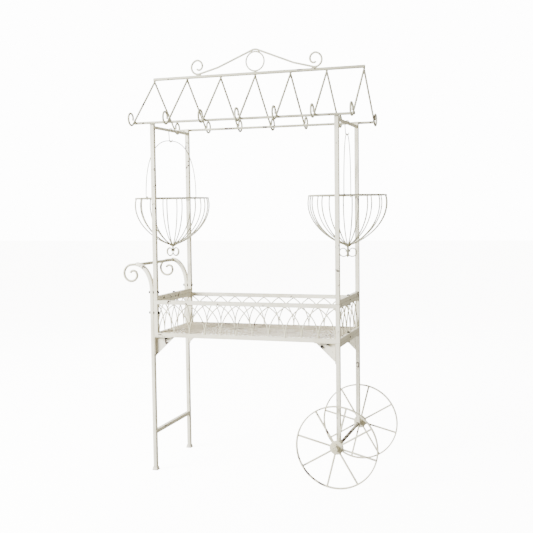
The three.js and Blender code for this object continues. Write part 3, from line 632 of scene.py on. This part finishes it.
hoop = tube_wall("hoop", hoop_radius, hoop_thick, hoop_width, 96)
rounded(hoop, 0.0012, 2, 60)
plate = tube_wall("hub_plate", hub_plate_r, hub_plate_wall, hub_plate_thick, 48)
rounded(plate, 0.0014, 2, 60)
barrel = tube_wall("hub_barrel", barrel_r, barrel_wall, barrel_length, 32)
rounded(barrel, 0.0010, 2, 60)
wheel_parts = [hoop, barrel]
spoke_start, spoke_end = 0.031, hoop_radius - hoop_thick + 0.001
for i in range(spoke_count):
    lay_down()
    bpy.ops.mesh.primitive_cube_add(size=1, location=((spoke_start + spoke_end) / 2, 0, 0),
                                    scale=(spoke_end - spoke_start, spoke_width, spoke_thick))
    spoke = bpy.context.object
    bpy.ops.object.transform_apply(location=True, rotation=True, scale=True)
    rounded(spoke, 0.0011, 2)
    foot = weld_bead((spoke_end - 0.0012, 0, 0), (0.0022, 0.0064, 0.0040), 50 + i)
    root = weld_bead((spoke_start + 0.002, 0, 0), (0.0028, 0.0062, 0.0042), 60 + i)
    arm = joined("spoke", [foot, root, spoke])
    set_in_place(arm, (0, 0, 0), (0, 0, math.radians(spoke_turn + 360 / spoke_count * i)))
    wheel_parts.append(arm)
bead = weld_bead((hoop_radius - 0.0010, 0, 0), (0.0009, 0.0020, 0.0056), 71)
set_in_place(bead, (0, 0, 0), (0, 0, math.radians(100)))
wheel_blank = joined("wheel", [bead, *wheel_parts, plate])
set_in_place(wheel_blank, (0, 0, 0), (math.pi / 2, 0, 0))
for side, s in (("front", -1), ("back", 1)):
    wheel = copy_of(wheel_blank, "spoked_wheel_" + side)
    set_in_place(wheel, (wheel_x, s * wheel_y, wheel_z))
    finish_steel(wheel, wheel_paint_shaded, "wheel_" + side, "paint", "wheel_" + side)
discard(wheel_blank)

# ------------------------------------------------------------ axle and axle caps
# A plain steel bar through both wheel legs. It was painted with the frame, and the paint
# has gone brown and thin; its colour is also darkened as painted shade. A turned cap is
# pressed over each end.
axle_low, axle_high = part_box("axle")
axle_radius, cap_radius, cap_wall, dome_radius, dome_flatness = 0.008, 0.013, 0.0046, 0.0105, 0.45
axle_paint_browned_and_shaded = antique_white("axle_worn_paint_and_shade", (0.42, 0.385, 0.30), 0.83, 35.9, False)
axle = cast_rod("axle_bar", (wheel_x, axle_low[1], wheel_z), (wheel_x, axle_high[1], wheel_z),
                axle_radius, 28)
finish_steel(axle, axle_paint_browned_and_shaded, "stand", "paint", "axle")
for side in ("front", "back"):
    low_corner, high_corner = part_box("axle_cap_" + side)
    s = -1 if side == "front" else 1
    outer, inner = (low_corner[1], high_corner[1]) if s < 0 else (high_corner[1], low_corner[1])
    depth = abs(outer - inner)
    cup = tube_wall("cup", cap_radius, cap_wall, depth, 32)
    rounded(cup, 0.0010, 2, 60)
    lay_down()
    bpy.ops.mesh.primitive_uv_sphere_add(segments=32, ring_count=16, radius=dome_radius,
                                         location=(0, 0, depth / 2 - 0.0048))
    dome = bpy.context.object
    dome.scale = (1, 1, dome_flatness)
    bpy.ops.object.transform_apply(location=False, rotation=False, scale=True)
    bpy.ops.object.transform_apply(location=True, rotation=True, scale=True)
    cap = joined("axle_cap_turned_" + side, [dome, cup])
    set_in_place(cap, (0, 0, 0), (s * -math.pi / 2, 0, 0))
    set_in_place(cap, (wheel_x, (outer + inner) / 2, wheel_z))
    finish_steel(cap, wheel_paint_shaded, "stand", "paint", "axle_cap_" + side)

# ------------------------------------------------------------ hanging baskets
# Half a lantern of round wire: a rim hoop, sixteen ribs drawn in to a small boss, and four
# curls as a finial under it. The ribs are spot welded to the inside of the rim.
# The frame's antique white made much darker as painted shade: the tone the thin basket wires, bails and
# hangers take in shade.
basket_paint_shaded = antique_white("basket_white_painted_shade", (0.44, 0.425, 0.31), 0.925, 41.7, False)
rim_z, basket_depth, rim_radius, widest, bulge_part = 1.380, 0.244, 0.188, 0.1935, 0.15
rim_rod_r, rib_r, finial_r, boss_radius, rib_count, curl_count = 0.0036, 0.0032, 0.003, 0.014, 16, 4
basket_places = {"left": (-0.468 + shift, math.radians(-17)), "right": (0.468 + shift, math.radians(8))}


def rib_radius(depth):
    """Radius at a part of the depth: widest a little below the rim, then closing in."""
    if depth < bulge_part:
        return widest - (widest - rim_radius) * ((bulge_part - depth) / bulge_part) ** 2
    return widest * max(1 - ((depth - bulge_part) / (1 - bulge_part)) ** 2, 0) ** 0.73


lay_down()
bpy.ops.mesh.primitive_torus_add(major_radius=rim_radius, minor_radius=rim_rod_r, major_segments=96,
                                 minor_segments=12)
basket_parts = [bpy.context.object]
depths = [0.005, 0.05, 0.10, 0.15, 0.21, 0.28, 0.36, 0.44, 0.52, 0.60, 0.67, 0.74, 0.80, 0.86, 0.91,
          0.95, 0.98, 1.0]
rib_route = [(max(rib_radius(d), 0.010), -d * basket_depth) for d in depths]
rib = bent_rod("rib", rib_route, rib_r, 10)
rib = joined("rib", [weld_bead((rim_radius + rim_rod_r, 0, -0.001), (0.0030, 0.0046, 0.0032), 81), rib])
for i in range(rib_count):
    twin = copy_of(rib, "rib")
    set_in_place(twin, (0, 0, 0), (0, 0, (i + 0.5) / rib_count * 2 * math.pi))
    basket_parts.append(twin)
discard(rib)
curl_route = [(0.004, -basket_depth)] + spiral((0.021, -basket_depth - 0.034), 0.021, 0.021, 165, 400, 22)
curl_route += spiral((0.019, -basket_depth - 0.031), 0.019, 0.009, 45, 190, 14)[1:]
curl_rod = bent_rod("finial_curl", curl_route, finial_r, 10)
rounded(curl_rod, 0.0008, 2, 60)
for i in range(curl_count):
    twin = copy_of(curl_rod, "finial_curl")
    set_in_place(twin, (0, 0, 0), (0, 0, i / curl_count * 2 * math.pi))
    basket_parts.append(twin)
discard(curl_rod)
boss = cast_rod("boss", (0, 0, -basket_depth - 0.006), (0, 0, -basket_depth + 0.006), boss_radius, 32, 0.003)
basket_blank = joined("wire_basket", [*basket_parts, boss])
for end, (x, turn) in basket_places.items():
    basket = copy_of(basket_blank, "wire_basket_" + end)
    set_in_place(basket, (x, 0, rim_z), (0, 0, turn))
    finish_steel(basket, basket_paint_shaded, "basket_" + end, "paint", "basket_" + end, degrees=50)
discard(basket_blank)

# ------------------------------------------------------------ bails and hangers
# The bail is one wire arched over the basket, each end looped loosely round the rim. It
# hangs on an S of the same painted wire, whose upper bend rides on the end frame's bar.
bail_top, bail_r, end_bar_radius, eye_play, hook_play = 1.677, 0.0025, 0.008, 0.0005, 0.0004
hook_lower_r, bail_steps = 0.008, 56
loop_radius = rim_rod_r + touch + bail_r + eye_play
bail_foot, bail_rise, bail_power = rim_radius + loop_radius, bail_top - rim_z, 2 / 2.4
eye = spiral((rim_radius, 0), loop_radius, loop_radius, 300, 0, 26)[:-1]
bail_route = [(-u, w) for u, w in eye]
for i in range(bail_steps + 1):
    angle = i / bail_steps * math.pi
    c = math.cos(angle)
    bail_route.append((-math.copysign(bail_foot * abs(c) ** bail_power, c),
                       bail_rise * max(math.sin(angle), 0) ** bail_power))
bail_route += list(reversed(eye))
bail_blank = bent_rod("bail", bail_route, bail_r, 10)
rounded(bail_blank, 0.0007, 2, 60)
set_in_place(bail_blank, (0, 0, 0), (0, 0, math.pi / 2))
end_bar_z = 1.730
hook_radius = end_bar_radius + touch + bail_r + hook_play
lower_z = bail_top - end_bar_z - 2 * bail_r - touch + hook_lower_r
hanger_route = spiral((0, 0), hook_radius, hook_radius, -20, 180, 24)
hanger_route += [(-hook_radius + 0.0006, -0.012)]
hanger_route += spiral((0, lower_z), hook_lower_r, hook_lower_r, 180, 385, 22)
hanger_blank = bent_rod("s_hook", hanger_route, bail_r, 12)
rounded(hanger_blank, 0.0007, 2, 60)
for end, (x, turn) in basket_places.items():
    bail = copy_of(bail_blank, "wire_bail_" + end)
    set_in_place(bail, (x, 0, rim_z), (0, 0, turn))
    finish_steel(bail, basket_paint_shaded, "bail_" + end, "paint", "bail_" + end, degrees=50)
    hanger = copy_of(hanger_blank, "s_hook_" + end)
    set_in_place(hanger, (x, 0, end_bar_z))
    finish_steel(hanger, basket_paint_shaded, "hanger_" + end, "paint", "hanger_" + end, degrees=50)
discard(bail_blank, hanger_blank)

# ------------------------------------------------------------ bolts
# Blackened hexagon bolts: through the legs and posts, through the frames' joints, screwed
# up into the rails through the gussets, and through each wheel-end gusset. A dark washer
# shows in each long joint.

def black_steel(name, turn):
    """Blackened steel with a little rust and grey where it has been handled."""
    steel = bpy.data.materials.new(name)
    steel.use_nodes = True
    tree = steel.node_tree
    shader = tree.nodes["Principled BSDF"]
    shader.location = (700, 0)
    shader.inputs["Specular IOR Level"].default_value = 0.1
    where = wire(tree, "ShaderNodeTexCoord", (-900, 0))
    set_off = wire(tree, "ShaderNodeMapping", (-700, 0), Vector=(where, "Object"))
    set_off.inputs["Location"].default_value = (turn, turn * 0.4, turn * 0.9)
    tarnish = wire(tree, "ShaderNodeTexNoise", (-450, 150), Vector=(set_off, "Vector"),
                   Scale=90.0, Detail=6.0, Roughness=0.65)
    shade = wire(tree, "ShaderNodeValToRGB", (-200, 200), Fac=(tarnish, "Fac"))
    steps_of(shade, (0.3, (0.004, 0.0035, 0.003)), (0.5, (0.008, 0.007, 0.006)), (0.7, (0.022, 0.018, 0.014)))
    tree.links.new(shade.outputs["Color"], shader.inputs["Base Color"])
    dull = wire(tree, "ShaderNodeMapRange", (-200, -100), Value=(tarnish, "Fac"))
    dull.inputs["To Min"].default_value = 0.62
    dull.inputs["To Max"].default_value = 0.36
    tree.links.new(dull.outputs["Result"], shader.inputs["Roughness"])
    grain = wire(tree, "ShaderNodeTexNoise", (-200, -350), Vector=(set_off, "Vector"),
                 Scale=700.0, Detail=3.0)
    bump = wire(tree, "ShaderNodeBump", (300, -300), Strength=0.25, Distance=0.0003,
                Height=(grain, "Fac"))
    tree.links.new(bump.outputs["Normal"], shader.inputs["Normal"])
    return steel


bolt_steel = black_steel("bolt_steel", 6.0)
shank_radius, head_radius, head_height, nut_height = 0.004, 0.0075, 0.008, 0.005
joint_washer_r, joint_washer_half, long_grip, screw_grip, sheet_grip = 0.0117, 0.0028, 0.0403, 0.0153, 0.003


def hexagon(radius, z0, z1, way):
    """A hexagon head or nut, chamfered on the side that faces out."""
    lay_down()
    bpy.ops.mesh.primitive_cylinder_add(vertices=6, radius=radius, depth=z1 - z0,
                                        location=(0, 0, (z0 + z1) / 2))
    head = bpy.context.object
    bpy.ops.object.transform_apply(location=True, rotation=True, scale=True)
    bpy.ops.object.mode_set(mode="EDIT")
    bpy.ops.mesh.select_mode(type="FACE")
    bpy.ops.mesh.select_all(action="DESELECT")
    bpy.ops.object.mode_set(mode="OBJECT")
    for face in head.data.polygons:
        face.select = face.normal.z * way > 0.9
    bpy.ops.object.mode_set(mode="EDIT")
    bpy.ops.mesh.inset(thickness=radius * 0.14)
    bpy.ops.transform.translate(value=(0, 0, way * 0.0004))
    bpy.ops.object.mode_set(mode="OBJECT")
    rounded(head, 0.0003, 1, 50)
    return head


def bolt_blank(name, grip, nutted):
    reach = grip / 2 + touch
    tip = reach + nut_height + 0.002 if nutted else grip / 2
    parts = [hexagon(head_radius - 0.0003, -reach - head_height + 0.0004, -reach - 0.0010, -1),
             cast_rod("washer", (0, 0, -reach - 0.0012), (0, 0, -reach), head_radius, 28, 0.0003)]
    if nutted:
        parts.append(hexagon(head_radius, reach, reach + nut_height - 0.0004, 1))
    if nutted and grip > sheet_grip:
        parts.append(cast_rod("joint_washer", (0, 0, -joint_washer_half), (0, 0, joint_washer_half),
                              joint_washer_r, 36, 0.0007))
    parts.append(cast_rod("shank", (0, 0, -reach - 0.001), (0, 0, tip), shank_radius, 16, 0.0006))
    return joined(name, parts)


leg_bolt = bolt_blank("leg_bolt", long_grip, True)
gusset_bolt = bolt_blank("gusset_bolt", screw_grip, False)
web_bolt = bolt_blank("web_bolt", sheet_grip, True)


def place_bolt(blank, node, way):
    """Puts a bolt along X or up along Z, or along Y with its head to the front or the back."""
    low_corner, high_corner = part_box(node)
    own = [Vector(corner) for corner in blank.bound_box]
    own_low = min(v.z for v in own)
    bolt = copy_of(blank, "hex_" + node)
    centre = [middle(node, axis) for axis in range(3)]
    if way == "along":
        set_in_place(bolt, (low_corner[0] - own_low, centre[1], centre[2]), (0, math.pi / 2, 0))
    elif way == "front":
        set_in_place(bolt, (centre[0], low_corner[1] - own_low, centre[2]), (-math.pi / 2, 0, 0))
    elif way == "back":
        set_in_place(bolt, (centre[0], high_corner[1] + own_low, centre[2]), (math.pi / 2, 0, 0))
    else:
        set_in_place(bolt, (centre[0], centre[1], low_corner[2] - own_low))
    finish_steel(bolt, bolt_steel, "stand", "dark_steel", node)


for side in ("front", "back"):
    place_bolt(leg_bolt, "leg_bolt_upper_" + side, "along")
    place_bolt(leg_bolt, "leg_bolt_lower_" + side, "along")
    place_bolt(web_bolt, "web_bolt_" + side, side)
    for end in ("left", "right"):
        place_bolt(gusset_bolt, "gusset_bolt_%s_%s" % (end, side), "up")
for node in ("end_bolt_left", "end_bolt_right", "wheel_frame_bolt"):
    place_bolt(leg_bolt, node, "up")
discard(leg_bolt, gusset_bolt, web_bolt)

# ------------------------------------------------------------ floor and light
# A pale floor and a pale room around it. One large soft light stands to the front left, and
# a weak one behind, so that the wheel-end faces fall into soft shade. The floor glows a
# little and throws no light back, which keeps the shade on the paint.
lay_down()
bpy.ops.mesh.primitive_plane_add(size=60, location=(0, 0, 0))
ground = bpy.context.object
ground.name = "pale_floor"
ground_skin = bpy.data.materials.new("pale_floor")
ground_skin.use_nodes = True
ground_shader = ground_skin.node_tree.nodes["Principled BSDF"]
ground_shader.inputs["Base Color"].default_value = (0.93, 0.93, 0.92, 1)
ground_shader.inputs["Roughness"].default_value = 0.9
ground_shader.inputs["Emission Color"].default_value = (1.0, 0.995, 0.985, 1)
ground_shader.inputs["Emission Strength"].default_value = 11.0
ground.data.materials.append(ground_skin)
ground.visible_diffuse = False
ground.visible_glossy = False

for name, place, aim, size, power in (
        ("window_light", (-4.2, -4.2, 3.0), (0, 0, 1.0), 2.8, 1700),
        ("back_light", (-1.5, 3.8, 3.6), (0, 0, 1.2), 2.4, 260)):
    bpy.ops.object.light_add(type="AREA", location=place)
    lamp = bpy.context.object
    lamp.name = name
    lamp.data.size = size
    lamp.data.energy = power
    away = Vector(place) - Vector(aim)
    lamp.rotation_euler = away.to_track_quat("Z", "Y").to_euler()
world = bpy.data.worlds.new("pale_room")
world.use_nodes = True
room = world.node_tree.nodes["Background"]
sight = wire(world.node_tree, "ShaderNodeLightPath", (-600, 0))
hue = wire(world.node_tree, "ShaderNodeMix", (-300, 250), {"data_type": "RGBA"},
           i0=(sight, "Is Camera Ray"), i6=(1.0, 0.94, 0.78, 1), i7=(1.0, 1.0, 0.995, 1))
world.node_tree.links.new(hue.outputs[2], room.inputs["Color"])
glow = wire(world.node_tree, "ShaderNodeMapRange", (-300, 0), Value=(sight, "Is Camera Ray"))
glow.inputs["To Min"].default_value = 0.72
glow.inputs["To Max"].default_value = 14.0
world.node_tree.links.new(glow.outputs["Result"], room.inputs["Strength"])
bpy.context.scene.world = world
